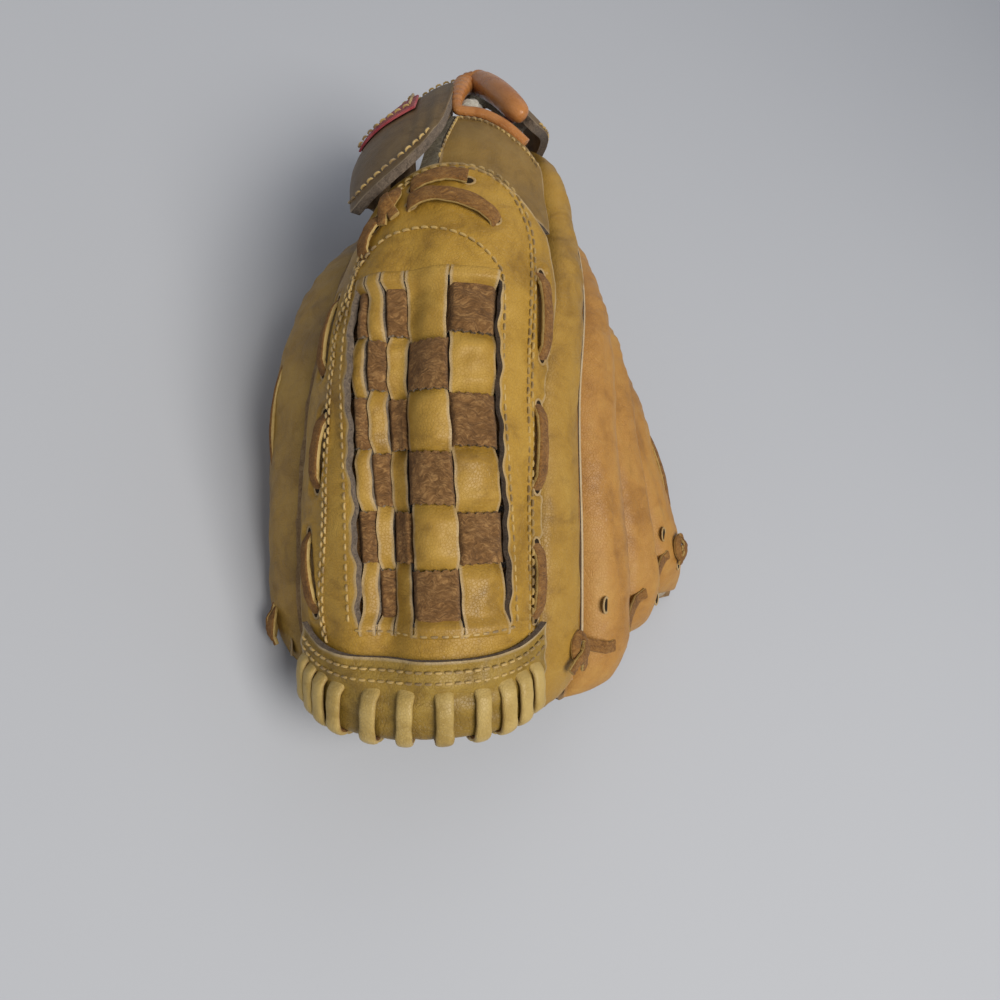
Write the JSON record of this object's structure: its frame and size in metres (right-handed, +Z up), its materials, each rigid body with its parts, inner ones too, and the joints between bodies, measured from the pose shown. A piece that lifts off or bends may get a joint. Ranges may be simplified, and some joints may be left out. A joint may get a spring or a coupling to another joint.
{
  "type": "baseball glove",
  "caption": "Closed leather baseball glove for the left hand with hollow finger stalls, a basket-woven web, rawhide laces and a wrist strap.",
  "frame": {"origin": "on the ground, under the middle of the glove's box", "axes": "+Y from the fingertips to the wrist, +X from the thumb to the little finger, +Z up from the ground it lies on"},
  "size_m": [0.194, 0.2552, 0.1173],
  "materials": {
    "palm_leather": "satin",
    "finger_leather": "satin",
    "web_leather": "satin",
    "suede": "matte",
    "rawhide_lace": "satin",
    "binding_leather": "gloss",
    "wool": "matte",
    "label": "satin"
  },
  "bodies": {
    "root": {"palm_shell": "palm_leather", "index_back": "finger_leather", "middle_back": "finger_leather", "ring_back": "finger_leather", "pinky_back": "finger_leather", "thumb_back": "palm_leather", "web_panel": "web_leather", "web_strip_long_1": "web_leather", "web_strip_long_2": "web_leather", "web_strip_long_3": "web_leather", "web_strip_long_4": "web_leather", "web_strip_long_5": "web_leather", "web_strip_cross_1": "suede", "web_strip_cross_2": "suede", "web_strip_cross_3": "suede", "web_strip_cross_4": "suede", "web_strip_cross_5": "suede", "web_strip_cross_6": "suede", "hand_back": "palm_leather", "crotch_suede_strip": "suede", "thumb_base": "palm_leather", "wrist_strap": "palm_leather", "strap_wool": "wool", "strap_label": "label", "opening_binding": "binding_leather", "web_top_binding": "web_leather", "web_top_lace": "rawhide_lace", "web_lace_finger_1": "rawhide_lace", "web_lace_finger_2": "rawhide_lace", "web_lace_finger_3": "rawhide_lace", "web_lace_thumb_1": "rawhide_lace", "web_lace_thumb_2": "rawhide_lace", "web_lace_thumb_3": "rawhide_lace", "crotch_lace_upper": "rawhide_lace", "crotch_lace_lower": "rawhide_lace", "crotch_lace_end": "rawhide_lace", "crotch_knot": "rawhide_lace", "thumb_knot": "rawhide_lace", "index_knot": "rawhide_lace", "pinky_knot": "rawhide_lace", "thumb_edge_lace": "rawhide_lace", "pinky_edge_lace": "rawhide_lace", "tip_lace_index": "rawhide_lace", "tip_lace_middle": "rawhide_lace", "tip_lace_ring": "rawhide_lace"}
  },
  "joints": []
}
